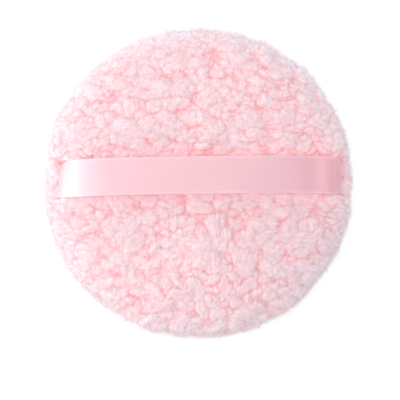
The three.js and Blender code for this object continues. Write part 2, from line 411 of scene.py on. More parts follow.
def nub_seeds(outline, pitch, seed):
    """Places the nubs of one cover: evenly by area, like the seeds of a sunflower, and then strayed.

    Each has a long and a short half width, a way along the surface, and a height as a share of the tallest.
    The way is about along X, and more nearly so on the +Y side.
    """
    arc, r = outline[0], outline[1]
    area = np.concatenate([[0], np.cumsum(np.pi * (r[1:] + r[:-1]) * np.diff(arc))])
    count = int(area[-1] / (pitch**2 * math.sqrt(3) / 2))
    rng = np.random.default_rng(seed)
    number = np.arange(count)
    arc_length = np.interp((number + 0.5) / count * area[-1], area, arc)
    arc_length = np.abs(arc_length + pitch * rng.uniform(-0.42, 0.42, count))
    angle = number * math.pi * (3 - math.sqrt(5))
    radius = np.maximum(np.interp(arc_length, arc, r), pitch)
    angle = angle + pitch * rng.uniform(-0.42, 0.42, count) / radius
    place, outward = on_outline(outline, arc_length, angle)
    spread = 0.5 - 0.25 * place[:, 1:2] / PUFF_RADIUS
    way = np.array([1.0, 0, 0]) + spread * rng.normal(size=(count, 3))
    tangent = unit(way - (way * outward).sum(-1, keepdims=True) * outward)
    size = rng.uniform(0.6, 1.2, count)
    return {
        "place": place,
        "outward": outward,
        "along": tangent,
        "across": np.cross(outward, tangent),
        "long": pitch * size * rng.uniform(1.0, 1.4, count),
        "short": pitch * size * rng.uniform(0.6, 0.85, count),
        "height": (0.5 + 0.5 * (size - 0.6) / 0.6) * rng.uniform(0.8, 1.0, count),
        "shade": rng.uniform(0, 1, count),
    }


def nub_field(points, seeds):
    """The pile's height at each point, how clear of the next nub it is, its nub's number and its place on it.

    A nub is about half an ellipsoid, h = height * (1 - (u / long)^2 - (v / short)^2 - (w / long)^2)^0.6, with
    u along it, v across it and w out from its seed. It leans towards -Y, so that it laps over the next, and
    does so most on the +Y side. The pile is the highest nub over each point. The crease number is how far
    that nub stands above the next highest.
    """
    height = np.empty(len(points))
    crease = np.empty(len(points))
    owner = np.empty(len(points), int)
    local = np.empty((len(points), 2))
    chunk = 4000
    slant = 0.4 + 0.3 * seeds["place"][:, 1] / PUFF_RADIUS
    starts = {key: (seeds[key] * seeds["place"]).sum(-1) for key in ("along", "across", "outward")}
    for start in range(0, len(points), chunk):
        part = points[start : start + chunk]
        u = (part @ seeds["along"].T - starts["along"]) / seeds["long"]
        v = (part @ seeds["across"].T - starts["across"]) / seeds["short"]
        w = (part @ seeds["outward"].T - starts["outward"]) / seeds["long"]
        inside = np.clip(1 - u * u - v * v - w * w, 0, None)
        lean = (part[:, 1:2] - seeds["place"][:, 1]) / seeds["long"]
        rise = seeds["height"] * inside**0.6 * (1 - slant * np.clip(lean, -1, 1))
        best = rise.argmax(axis=1)
        rows = np.arange(len(part))
        top = rise[rows, best]
        rise[rows, best] = 0
        height[start : start + chunk] = top
        crease[start : start + chunk] = top - rise.max(axis=1)
        owner[start : start + chunk] = best
        local[start : start + chunk, 0] = u[rows, best] * seeds["long"][best]
        local[start : start + chunk, 1] = v[rows, best] * seeds["short"][best]
    return height, crease, owner, local


def ribbon_line(count, thickness=CAD_RIBBON_THICKNESS):
    """The ribbon's middle line from its +X tail to its -X tail: X, height and arc length, evenly spaced.

    A flat tail in the seam, a quarter circle up out of it, and a superellipse over the puff.
    """
    span = RIBBON_HIGH.x - CAD_RIBBON_THICKNESS / 2
    top = RIBBON_HIGH.z - SEAM_Z - thickness / 2
    tail_end = PUFF_RADIUS - WALL - SEAM_ALLOWANCE
    turn = np.linspace(0, np.pi / 2, 60)
    bend_x = span - RIBBON_BEND + RIBBON_BEND * np.sin(turn)
    bend_z = RIBBON_BEND * (1 - np.cos(turn))
    rising = np.linspace(0, np.pi / 2, 400)[1:]
    arch_x = span * np.cos(rising) ** (2 / RIBBON_EXPONENT)
    arch_z = RIBBON_BEND + (top - RIBBON_BEND) * np.sin(rising) ** (2 / RIBBON_EXPONENT)
    x = np.concatenate([[tail_end], bend_x, arch_x])
    z = np.concatenate([[0], bend_z, arch_z])
    x = np.concatenate([x, -x[-2::-1]])
    z = np.concatenate([z, z[-2::-1]])
    arc = arc_lengths(x, z)
    even = np.linspace(0, arc[-1], count)
    return np.interp(even, arc, x), np.interp(even, arc, z), even


def end_skew(x, y):
    """How far the ribbon's -X end is pulled in: nothing at its -Y edge, and most at its +Y edge."""
    return END_SKEW * ramp(y, RIBBON_LOW.y, RIBBON_HIGH.y) * ramp(-x, *SKEWED_PART) ** 2


def under_ribbon(points):
    """How far out along X the pile may stand at each point.

    In the ribbon's way it stays under the ribbon. Beside the ribbon it may stand further out the further
    away it is, with an uneven slope. Above the ribbon it may stand anywhere.
    """
    x, z, _ = ribbon_line(900)
    half = len(x) // 2
    limit = np.interp(points[:, 2], z[:half], x[:half], right=1)
    limit -= CAD_RIBBON_THICKNESS / 2 + CLEARANCE / 2
    beside = np.clip(np.abs(points[:, 1] - RIBBON_Y) - RIBBON_WIDTH / 2, 0, None)
    uneven = 1 + 0.7 * soft_noise(points, CURL_BEND_SIZE, 71)
    limit += 2.6 * uneven * beside - end_skew(points[:, 0], points[:, 1])
    limit[points[:, 2] > z.max() - CAD_RIBBON_THICKNESS] = 1
    return limit


def keep_under_ribbon(points):
    """The pile's points pressed in where the ribbon crosses them."""
    limit = under_ribbon(points)
    pressed = points.copy()
    pressed[:, 0] = np.sign(points[:, 0]) * np.minimum(np.abs(points[:, 0]), limit)
    return pressed


def pile_relief(sizes, base, nub, crease, across, seed):
    """How far the pile stands out of its outline at each point, and its tone, from 0 to 1: from the
    creases' painted shade to the nubs' own colour.

    The relief is the nubs, with some of the creases between them filled and others deepened, and small curls
    and wide swells on top. The curls are waves across each nub, ridges of noise, 1 - 2 |noise|^0.7, and finer
    noise. The swells are larger at the rim.
    """
    bent = 2.5 * soft_noise(base, CURL_BEND_SIZE, seed + 12)
    waves = np.cos(2 * np.pi * across / CURL_WIDTH + bent)
    ridges = 1 - 2 * np.abs(soft_noise(base, CURL_WIDTH, seed + 10)) ** 0.7
    curls = 0.4 * waves + ridges + 0.6 * soft_noise(base, FINE_CURL_WIDTH, seed + 11)
    widest = ramp(np.hypot(base[:, 0], base[:, 1]) / PUFF_RADIUS, 0.87, 0.97)
    swell = SWELL_HEIGHT * (1 + 1.4 * widest) * soft_noise(base, SWELL_SIZE, seed + 20)
    deep = 0.55 + 0.15 * base[:, 1] / PUFF_RADIUS + 1.2 * soft_noise(base, DEEP_PART_SIZE, seed + 30)
    deep = np.clip(deep, 0, 1)
    between = 1 - ramp(crease, 0, 0.2) ** 0.8
    filled = np.maximum(nub, 0.25) + (0.08 * (1 - deep) - 0.12 * deep) * between
    rise = sizes.nub_height * (0.15 + filled) + sizes.curl_depth * curls + swell
    # Painted shade in the creases, heavier where they are deepened
    tuft = np.clip(nub + 0.15 * ridges, 0, 1) * (1 - (0.2 + 0.6 * deep) * between)
    return rise, tuft


def round_ribbon_ends(base):
    """How much each point belongs to the part of the rim round the ribbon's two ends, from 0 to 1."""
    side = np.abs(base[:, 1] - RIBBON_Y)
    outside = ramp(np.abs(base[:, 0]), *END_PART)
    return outside * ramp(side, *END_SIDE) * ramp(base[:, 2], *END_HEIGHT)


def mark_top_cover(marks, base, pressed):
    """Painted shade just above the ribbon, painted light just below it, and a painted glow round it.

    Where the ribbon presses the pile in, it gets painted shade, a painted glow and no painted rim light.
    """
    side = base[:, 1] - RIBBON_Y
    beside = ramp(np.abs(side), *LIT_SIDE)
    # Painted shade: the pile just above the ribbon is made deeper, as the ribbon's shade would make it
    above = ramp(side, *SHADE_ABOVE_SIDE) * (side > 0) * ramp(base[:, 0], *SHADE_ABOVE_PART)
    # Painted light: the pile just below the ribbon is made lighter, against the ribbon's shadow
    below = ramp(np.abs(side + LIGHT_BELOW_MIDDLE), LIGHT_BELOW_HALF_WIDTH, 0)
    # A painted glow beside the ribbon, most just below it, against its shadow
    sheltered = beside + 0.8 * below + 0.15 * above
    # Painted shade above the ribbon and where it presses the pile in, and painted light just below it
    marks["tuft"] = (marks["tuft"] * (1 - 0.6 * above) + 0.16 * below) * (1 - 0.6 * pressed)
    marks["pale"] = marks["pale"] * (1 - pressed)
    marks["sheltered"] = np.maximum(sheltered * ramp(np.abs(base[:, 0]), *LIT_PART), 0.8 * pressed)


def mark_under_cover(marks, base, ends):
    """Paints light on the rim by the ribbon's two ends: less of the creases' painted shade and a painted
    glow, most at the -X end's +Y corner.
    """
    corner = ends * ramp(base[:, 1] - RIBBON_Y, 0, 0.003) * (base[:, 0] < 0)
    # Painted light: less of the creases' painted shade round the ribbon's ends
    marks["tuft"] = np.maximum(marks["tuft"], 0.35 * ends + 0.4 * corner)
    # A painted glow round the ribbon's ends, most at the -X end's +Y corner
    marks["sheltered"] = 0.4 * ends + 0.6 * corner


def cover_surface(sizes, upside_down, seed):
    """One cover's closed surface: the pile over a disc grid, with the cloth's inside hung from its edge.

    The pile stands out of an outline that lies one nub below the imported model's. Returns the points, the
    quads and the inside's fan of triangles, the numbers that each point carries for its material, and the
    way that each pile point's nub lies.
    """
    outline = puff_outline(sizes.nub_height)
    seeds = nub_seeds(outline, sizes.nub_pitch, seed)
    share, angle = disc_grid(sizes.pile_mesh)
    base, outward = on_outline(outline, share * outline[0][-1], angle)
    strayed = warped(warped(base, *WIDE_BEND, seed), *FINE_BEND, seed + 3)
    nub, crease, owner, local = nub_field(strayed, seeds)
    rise, tuft = pile_relief(sizes, base, nub, crease, local[:, 1], seed)
    points = base + rise[:, None] * outward
    points[:, 2] = np.maximum(points[:, 2], SEAM_HALF_GAP)
    # Painted light at the rim, stronger on the +Y side
    pale = ramp(np.hypot(base[:, 0], base[:, 1]) / PUFF_RADIUS, 0.8, 1) ** 2.2
    pale *= 1 + 0.6 * ramp(base[:, 1], 0, PUFF_RADIUS)
    marks = {
        "tuft": tuft,
        "shade": seeds["shade"][owner],
        "pale": pale,
        "lock_u": local[:, 0],
        "lock_v": local[:, 1],
    }
    towards = seeds["along"][owner]
    if upside_down:
        ends = round_ribbon_ends(base)
        points -= (0.4 * ends * rise)[:, None] * outward
        mark_under_cover(marks, base, ends)
        towards = towards * [1, 1, -1]
    else:
        free = points
        points = keep_under_ribbon(free)
        mark_top_cover(marks, base, ramp(np.abs(free[:, 0] - points[:, 0]), 0, FULLY_PRESSED))
    closed_points, faces = closed_cover(points, angle, sizes.pile_mesh, upside_down)
    blank = np.zeros(len(closed_points) - len(points))
    marks = {name: np.concatenate([values, blank]) for name, values in marks.items()}
    return closed_points, faces, marks, towards


def closed_cover(points, angle, count, upside_down):
    """The pile's grid with the cloth's inside hung from its edge, put in place above or below the seam."""
    rim = grid_rim(count)
    inside, rings = cover_inside(angle[rim])
    all_points = np.concatenate([points, inside])
    hung_numbers = len(points) + np.arange(rings * len(rim)).reshape(rings, -1)
    ring_numbers = np.concatenate([rim[None], hung_numbers])
    quads = strip_quads(rings + 1, len(rim), closed_columns=True)
    hung = ring_numbers.ravel()[quads][:, ::-1]
    last = ring_numbers[-1]
    middle = np.full(len(last), len(all_points) - 1)
    fan = np.stack([last, middle, np.roll(last, -1)], axis=-1)
    faces = [np.concatenate([strip_quads(count, count), hung]), fan]
    if upside_down:
        all_points[:, 2] *= -1
        all_points[:, 2] = np.maximum(all_points[:, 2], -SEAM_Z)
        faces = [face_set[:, ::-1] for face_set in faces]
    all_points[:, 2] += SEAM_Z
    return all_points, faces


def cover_inside(angle):
    """Rings of the cloth's inside, from the seam in along the allowance, up, and over to the middle.

    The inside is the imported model's: a superellipse of radius R - wall over the top of the seam allowance.
    """
    inside_radius = PUFF_RADIUS - WALL
    allowance_in = inside_radius - SEAM_ALLOWANCE
    allowance_top = SEAM_HALF_GAP + ALLOWANCE_THICKNESS
    top = HALF_THICKNESS - WALL
    turn = np.linspace(np.pi / 2, 0, 7)[:-1]
    crown_r = inside_radius * np.sin(turn) ** (2 / CROWN_EXPONENT)
    crown_z = allowance_top + (top - allowance_top) * np.cos(turn) ** (2 / CROWN_EXPONENT)
    r = np.concatenate([[allowance_in, allowance_in], crown_r])
    z = np.concatenate([[SEAM_HALF_GAP, allowance_top], crown_z])
    height = np.broadcast_to(z[:, None], (len(r), len(angle)))
    rings = np.stack([r[:, None] * np.cos(angle), r[:, None] * np.sin(angle), height], axis=-1)
    middle = np.array([[0, 0, top]])
    return np.concatenate([rings.reshape(-1, 3), middle]), len(r)


def surface_normals(points, faces):
    """Outward direction at each point: the sum of its quads' directions."""
    a, b, c, d = (points[faces[:, i]] for i in range(4))
    face_normal = np.cross(c - a, d - b)
    normal = np.zeros_like(points)
    for i in range(4):
        np.add.at(normal, faces[:, i], face_normal)
    return unit(normal)


def curled_locks(roots, first_way, second_way, outward, lengths, widths, rng):
    """Locks of fibre: a three-sided tube that sets off one way, bends, and comes to a tip the other way.

    Seven points each: the root's triangle, the bend's triangle at three quarters of its width, and the tip.
    One side of a lock faces about outward, so that it catches the light.
    """
    side = unit(np.cross(first_way, outward + 0.3 * rng.normal(size=first_way.shape)))
    other = np.cross(first_way, side)
    bends = roots + 0.5 * lengths[:, None] * first_way
    tips = bends + 0.5 * lengths[:, None] * second_way
    corners = []
    for centre, share in ((roots, 1.0), (bends, 0.75)):
        for turn in (math.pi / 2, 7 * math.pi / 6, 11 * math.pi / 6):
            reach = share * widths[:, None] / 2
            corners.append(centre + reach * (math.cos(turn) * side + math.sin(turn) * other))
    return np.stack([*corners, tips], axis=1)


def lock_faces(count):
    """The quads and the triangles of that many locks."""
    first = LOCK_POINTS * np.arange(count)[:, None, None]
    quads = np.array([[0, 1, 4, 3], [1, 2, 5, 4], [2, 0, 3, 5]])
    triangles = np.array([[3, 4, 6], [4, 5, 6], [5, 3, 6], [0, 2, 1]])
    return [(first + quads).reshape(-1, 4), (first + triangles).reshape(-1, 3)]


# Materials


def set_inputs(node, values):
    """Gives a node's inputs their values. One that is another node's output is linked."""
    for key, value in values.items():
        if isinstance(value, bpy.types.NodeSocket):
            node.id_data.links.new(value, node.inputs[key])
        else:
            node.inputs[key].default_value = value


def node_adder(tree):
    """A function that adds a node to a tree, with its inputs and its settings."""

    def add(kind, inputs=(), **settings):
        node = tree.nodes.new(kind)
        for key, value in settings.items():
            setattr(node, key, value)
        set_inputs(node, dict(inputs))
        return node

    return add


def start_material(name):
    """A new material with its Principled shader, and a function that adds nodes to it."""
    material = bpy.data.materials.new(name)
    material.use_nodes = True
    tree = material.node_tree
    tree.nodes.clear()
    output = tree.nodes.new("ShaderNodeOutputMaterial")
    shader = tree.nodes.new("ShaderNodeBsdfPrincipled")
    tree.links.new(shader.outputs["BSDF"], output.inputs["Surface"])
    return material, shader, node_adder(tree)


def read_mark(add, name):
    """The number that each point of a piece carries under that name."""
    return add("ShaderNodeAttribute", attribute_name=name).outputs["Fac"]


def maths(add, operation, *values, **settings):
    """The result of a Math node for values that are numbers or outputs."""
    node = add("ShaderNodeMath", dict(enumerate(values)), operation=operation, **settings)
    return node.outputs[0]


def remapped(add, value, before, after, **settings):
    """A value taken in proportion from one range to another. A range is its two ends."""
    names = ("Value", "From Min", "From Max", "To Min", "To Max")
    node = add("ShaderNodeMapRange", dict(zip(names, (value, *before, *after))), **settings)
    return node.outputs[0]


def mixed_colour(add, factor, first, second, blend="MIX"):
    """The colour between two colours at a factor. Each colour is three linear values or an output."""
    node = add("ShaderNodeMix", {"Factor": factor}, data_type="RGBA", blend_type=blend)
    colour_inputs = [number for number, socket in enumerate(node.inputs) if socket.type == "RGBA"]
    for number, value in zip(colour_inputs, (first, second)):
        linked = isinstance(value, bpy.types.NodeSocket)
        set_inputs(node, {number: value if linked else (*value, 1)})
    return next(socket for socket in node.outputs if socket.type == "RGBA")


def drawn_fibres(add, place, shade):
    """Fibres along each nub: noise in the nub's own coordinates, drawn out along it and bent a little.

    Each nub's shade moves its noise, so that no two have the same fibres.
    """
    u, v = read_mark(add, "lock_u"), read_mark(add, "lock_v")
    lock = add("ShaderNodeCombineXYZ", {"X": u, "Y": v, "Z": shade})
    drawn = add("ShaderNodeMapping", {"Vector": lock.outputs[0], "Scale": (600, 3600, 40)})
    bend = add("ShaderNodeTexNoise", {"Vector": place, "Scale": 500, "Detail": 1})
    shift = maths(add, "MULTIPLY", bend.outputs["Fac"], 3.0)
    bent = add("ShaderNodeVectorMath", {0: drawn.outputs[0], 1: shift}, operation="ADD")
    streaks = add(
        "ShaderNodeTexNoise",
        {"Vector": bent.outputs[0], "Scale": 1, "Detail": 3, "Roughness": 0.6},
    )
    return streaks.outputs["Fac"]


def fleece_material(colours, name, streaked):
    """Curly fleece with fibres: its own pink on nubs, painted shade in creases, painted light at the rim.

    A painted glow, in the creases and where the ribbon shades the pile, stands for light that the
    fibres scatter into the shade.
    """
    material, shader, add = start_material(name)
    place = add("ShaderNodeTexCoord").outputs["Object"]
    shade = read_mark(add, "shade")
    if streaked:
        fibres = drawn_fibres(add, place, shade)
        bump = add("ShaderNodeBump", {"Height": fibres, "Distance": 0.00016, "Strength": 0.8})
        set_inputs(shader, {"Normal": bump.outputs["Normal"]})
    else:
        fibres = add("ShaderNodeTexNoise", {"Vector": place, "Scale": 1100, "Detail": 3}).outputs["Fac"]
    depth = remapped(add, read_mark(add, "tuft"), (0, 0.68), (0, 1))
    contrast = remapped(add, fibres, (0.3, 0.7), (-0.36, 0.28))
    tone = maths(add, "ADD", depth, contrast, use_clamp=True)
    # From the creases' painted shade to the nubs' own colour
    pile = mixed_colour(add, tone, colours.pile_crease_shade, colours.pile_tip)
    paler = mixed_colour(add, 0.3, colours.pile_tip, (1, 1, 1))
    soft = mixed_colour(add, remapped(add, shade, (0, 1), (0, 0.35)), pile, paler)
    # Painted rim light: a mix towards a near-white colour at the rim
    fading = maths(add, "MULTIPLY", read_mark(add, "pale"), 0.5)
    # A painted glow, strongest in the creases' painted shade
    glow = remapped(add, tone, (0, 1), (0.09, 0))
    set_inputs(
        shader,
        {
            "Base Color": mixed_colour(add, fading, soft, RIM_LIGHT_COLOUR),
            "Roughness": 0.95,
            "Specular IOR Level": 0.1,
            "Sheen Weight": 0.8,
            "Sheen Roughness": 0.4,
            "Sheen Tint": (*FLEECE_SHEEN, 1),
            "Emission Color": (*FLEECE_GLOW, 1),
            "Emission Strength": maths(add, "MULTIPLY_ADD", read_mark(add, "sheltered"), 0.1, glow),
        },
    )
    return material


def satin_material(colours):
    """Satin ribbon: smooth and shiny, with fine warp lines along it and a paler selvedge along each edge.

    Towards its ends, which turn down away from the light, a painted glow brightens it.
    """
    material, shader, add = start_material("satin")
    weave = add("ShaderNodeUVMap", uv_map="weave").outputs[0]
    across = add("ShaderNodeSeparateXYZ", {0: weave}).outputs["Y"]
    edge = remapped(add, maths(add, "ABSOLUTE", across), (0.0042, 0.0047), (0, 1))
    colour = mixed_colour(add, edge, colours.ribbon, colours.selvedge)
    drawn = add("ShaderNodeMapping", {"Vector": weave, "Scale": (60, 9000, 1)})
    warp = add("ShaderNodeTexNoise", {"Vector": drawn.outputs[0], "Scale": 1, "Detail": 3})
    bump = add("ShaderNodeBump", {"Height": warp.outputs["Fac"], "Distance": 0.00001, "Strength": 0.25})
    tangent = add("ShaderNodeTangent", direction_type="UV_MAP", uv_map="weave")
    place = add("ShaderNodeSeparateXYZ", {0: add("ShaderNodeTexCoord").outputs["Object"]})
    # Painted glow that brightens the ribbon's turned-down ends
    painted_end_glow = remapped(add, maths(add, "ABSOLUTE", place.outputs["X"]), (0.022, 0.0375), (0, 0.2))
    set_inputs(
        shader,
        {
            "Base Color": mixed_colour(add, 0.12, colour, warp.outputs["Color"], "SOFT_LIGHT"),
            "Normal": bump.outputs["Normal"],
            "Tangent": tangent.outputs[0],
            "Roughness": 0.44,
            "IOR": 1.8,
            "Specular IOR Level": 1.0,
            "Coat Weight": 1.0,
            "Coat IOR": 2.0,
            "Coat Roughness": 0.5,
            "Anisotropic": 0.4,
            "Anisotropic Rotation": 0.25,
            "Subsurface Weight": 1.0,
            "Subsurface Radius": (1.0, 0.4, 0.45),
            "Subsurface Scale": 0.001,
            "Emission Color": (*SATIN_GLOW, 1),
            "Emission Strength": painted_end_glow,
        },
    )
    return material


def thread_material(colours):
    """Cotton thread: matt, with a fine twist of fibres."""
    material, shader, add = start_material("thread")
    place = add("ShaderNodeTexCoord").outputs["Object"]
    fibres = add("ShaderNodeTexNoise", {"Vector": place, "Scale": 9000, "Detail": 2}).outputs["Fac"]
    bump = add("ShaderNodeBump", {"Height": fibres, "Distance": 0.00003})
    darker = tuple(0.8 * value for value in colours.thread)
    set_inputs(
        shader,
        {
            "Base Color": mixed_colour(add, fibres, darker, colours.thread),
            "Normal": bump.outputs["Normal"],
            "Roughness": 0.8,
            "Sheen Weight": 0.2,
        },
    )
    return material


def wadding_material(colours):
    """Polyester wadding: white, matt and tangled."""
    material, shader, add = start_material("wadding")
    place = add("ShaderNodeTexCoord").outputs["Object"]
    tangle = add(
        "ShaderNodeTexNoise",
        {"Vector": place, "Scale": 700, "Detail": 6, "Roughness": 0.7, "Distortion": 2.5},
    ).outputs["Fac"]
    bump = add("ShaderNodeBump", {"Height": tangle, "Distance": 0.0003})
    darker = tuple(0.85 * value for value in colours.wadding)
    set_inputs(
        shader,
        {
            "Base Color": mixed_colour(add, tangle, darker, colours.wadding),
            "Normal": bump.outputs["Normal"],
            "Roughness": 1.0,
            "Sheen Weight": 0.3,
        },
    )
    return material


# Operators


class PUFF_OT_covers(bpy.types.Operator):
    """Makes the two fleece covers and the loose fibres that stand out of them"""

    bl_idname = "puff.covers"
    bl_label = "Covers"

    def execute(self, context):
        sizes = context.scene.puff_sizes
        colours = context.scene.puff_colours
        fleece = fleece_material(colours, "fleece", streaked=True)
        fuzz = fleece_material(colours, "fleece_fuzz", streaked=False)
        for node, upside_down, seed, batches in (
            ("top_cover", False, 11, 3),
            ("powder_side_cover", True, 29, 2),
        ):
            points, faces, marks, towards = cover_surface(sizes, upside_down, seed)
            cover = new_piece(node + "_pile", points, faces, fleece, [node])
            for mark, values in marks.items():
                set_attribute(cover, mark, values)
            normals = surface_normals(points, faces[0])
            for batch in range(batches):
                rng = np.random.default_rng((seed + batch) * 101)
                chosen = self.lock_places(sizes, points[: len(towards)], marks, upside_down, rng)
                locks = self.grown_locks(sizes, points[chosen], normals[chosen], towards[chosen], rng)
                keep = self.clear_of_others(locks, upside_down)
                carried = {mark: values[chosen][keep] for mark, values in marks.items()}
                self.add_fuzz(f"{node}_fuzz_{batch + 1}", fuzz, locks[keep], carried, rng)
        return {"FINISHED"}

    def lock_places(self, sizes, pile, marks, upside_down, rng):
        """Draws the points of the pile that a batch of locks stands on, more of them high on the nubs.

        On the under cover the points below the ribbon's ends come first, so that these stay well covered.
        """
        drawn = rng.integers(0, len(pile), 3 * sizes.locks)
        if upside_down:
            beside = np.abs(pile[drawn, 1] - RIBBON_Y) < END_LOCKS_SIDE
            ends = (np.abs(pile[drawn, 0]) > RIBBON_END) & beside
            drawn = drawn[np.argsort(~ends, kind="stable")]
        high = marks["tuft"][drawn] > rng.uniform(0, 0.8, len(drawn))
        return drawn[high][: sizes.locks]

    def grown_locks(self, sizes, places, outward, towards, rng):
        """Locks on the pile. Each leans along its nub, a little to one side, and curls down again.

        A quarter of them are strays, which are finer. These and the ones at the rim stand out further.
        """
        total = len(places)
        way = towards * rng.choice([-1, 1], total)[:, None] + 0.6 * rng.normal(size=(total, 3))
        way = unit(way - (way * outward).sum(-1, keepdims=True) * outward)
        across = np.cross(outward, way)
        stray = rng.uniform(0, 1, total) < 0.25
        lift = np.where(stray, rng.uniform(1.0, 3.0, total), rng.uniform(0.15, 0.9, total))[:, None]
        at_rim = np.abs(places[:, 2] - SEAM_Z) < 1.7 * ROLL_HEIGHT
        lift = np.where(at_rim[:, None], 1.5 * lift + 1.0, lift)
        sway = rng.uniform(-0.7, 0.7, total)[:, None]
        first_way = unit(lift * outward + way)
        second_way = unit((0.25 * lift - 0.25) * outward + way + sway * across)
        lengths = sizes.lock_length * rng.uniform(0.4, 1.0, total) * np.where(stray | at_rim, 1.3, 1)
        widths = sizes.lock_width * np.where(stray, 0.4, rng.uniform(0.6, 1.1, total))
        roots = places - 0.00004 * outward
        return curled_locks(roots, first_way, second_way, outward, lengths, widths, rng)

    def add_fuzz(self, name, material, locks, marks, rng):
        """Makes a batch of locks one piece. Each has a tone of its own, and less of the creases' painted
        shade towards its tip.
        """
        points = locks.reshape(-1, 3)
        piece = new_piece(name, points, lock_faces(len(locks)), material, smooth=False)
        # The creases' painted shade fades out towards each lock's tip
        shade_fading_to_tip = np.array([0.1, 0.1, 0.1, 0.25, 0.25, 0.25, 0.45])
        set_attribute(piece, "tuft", (marks["tuft"][:, None] + shade_fading_to_tip).ravel())
        set_attribute(piece, "shade", np.repeat(rng.uniform(0, 1, len(locks)), LOCK_POINTS))
        for mark in ("pale", "sheltered"):
            set_attribute(piece, mark, np.repeat(marks[mark], LOCK_POINTS))

    def clear_of_others(self, locks, upside_down):
        """Which locks stay on their own side of the seam, above the floor and out of the ribbon."""
        limit = under_ribbon(locks.reshape(-1, 3) - [0, 0, SEAM_Z]).reshape(locks.shape[:-1])
        reach = np.abs(locks[..., 0])
        out_of_ribbon = (reach <= limit) | (reach > limit + CAD_RIBBON_THICKNESS + 3 * CLEARANCE)
        height = locks[..., 2]
        if upside_down:
            fine = (height < SEAM_Z - SEAM_HALF_GAP / 2) & (height > 0)
        else:
            fine = (height > SEAM_Z + SEAM_HALF_GAP / 2) & out_of_ribbon
        return fine.all(axis=1)


class PUFF_OT_ribbon(bpy.types.Operator):
    """Makes the satin ribbon, with its tails in the seam"""

    bl_idname = "puff.ribbon"
    bl_label = "Ribbon"

    def execute(self, context):
        steps, ring = 420, 48
        points, across, arc = self.satin_strip(context.scene.puff_sizes, steps, ring)
        quads = strip_quads(steps, ring, closed_columns=True)
        ends = [np.arange(ring)[None, ::-1], (steps - 1) * ring + np.arange(ring)[None]]
        ribbon = new_piece(
            "finger_ribbon_satin",
            points,
            [quads, *ends],
            satin_material(context.scene.puff_colours),
            ["finger_ribbon"],
        )
        self.add_weave_map(ribbon, np.repeat(arc, ring), across)
        return {"FINISHED"}

    def satin_strip(self, sizes, steps, ring):
        """A flat section carried along the ribbon's middle line.

        It is |cos|^0.35 across and |sin|^0.5 deep, with their signs. It is bowed, its edges waver, its +X end
        is creased, and its -X end is narrower and pulled askew. Returns the points, how far across the ribbon
        each is, and each section's arc length.
        """
        x, z, arc = ribbon_line(steps, sizes.ribbon_thickness)
        along = unit(np.stack([np.gradient(x), np.gradient(z)], axis=-1))
        inward = np.stack([-along[:, 1], along[:, 0]], axis=-1)
        turn = np.linspace(0, 2 * np.pi, ring, endpoint=False)
        share = self.rounded(np.cos(turn), 0.35)
        narrowing = np.interp(x, [-0.038, -0.033, 0.034, 0.038], [0.06, 0, 0, 0.03])
        width_share = 0.985 - narrowing
        across = RIBBON_WIDTH / 2 * width_share[:, None] * share
        depth = sizes.ribbon_thickness / 2 * self.rounded(np.sin(turn), 0.5)
        bow = sizes.ribbon_bow * (share**2 - 1)
        wave = self.edge_waves(arc)[:, None] * share**3
        offset = depth[None, :] + bow[None, :] + wave + self.end_creases(x)[:, None]
        out = x[:, None] + offset * inward[:, :1]
        out = out + end_skew(out, RIBBON_Y + across)
        height = SEAM_Z + z[:, None] + offset * inward[:, 1:]
        points = np.stack([out, RIBBON_Y + across, height], axis=-1)
        return points.reshape(-1, 3), across.ravel(), arc

    def rounded(self, wave, power):
        """A sine or cosine pushed towards -1 and 1, which makes an ellipse a rounded rectangle."""
        return np.sign(wave) * np.abs(wave) ** power

    def end_creases(self, x):
        """Two fine creases across the ribbon, where its +X end turns down into the seam."""
        rise = 0
        for place, width, height in ((0.0357, 0.00025, 0.0001), (0.0374, 0.0002, 0.00008)):
            rise = rise + height * np.exp(-(((x - place) / width) ** 2))
        return rise

    def edge_waves(self, arc):
        """A slight unevenness of the ribbon's edges: two sines along it, fading out at its tails."""
        height, long_wave, short_wave = 0.00006, 0.0031, 0.0017
        middle = np.sin(np.pi * arc / arc[-1]) ** 0.5
        return height * middle * (np.sin(arc / long_wave) + 0.7 * np.sin(arc / short_wave + 1))

    def add_weave_map(self, ribbon, along, across):
        """A UV map in metres: along the ribbon, and across it from its middle."""
        weave = ribbon.data.uv_layers.new(name="weave")
        corners = np.empty(len(ribbon.data.loops), np.int32)
        ribbon.data.loops.foreach_get("vertex_index", corners)
        pairs = np.stack([along[corners], across[corners]], axis=-1).astype(np.float32)
        weave.data.foreach_set("uv", pairs.ravel())


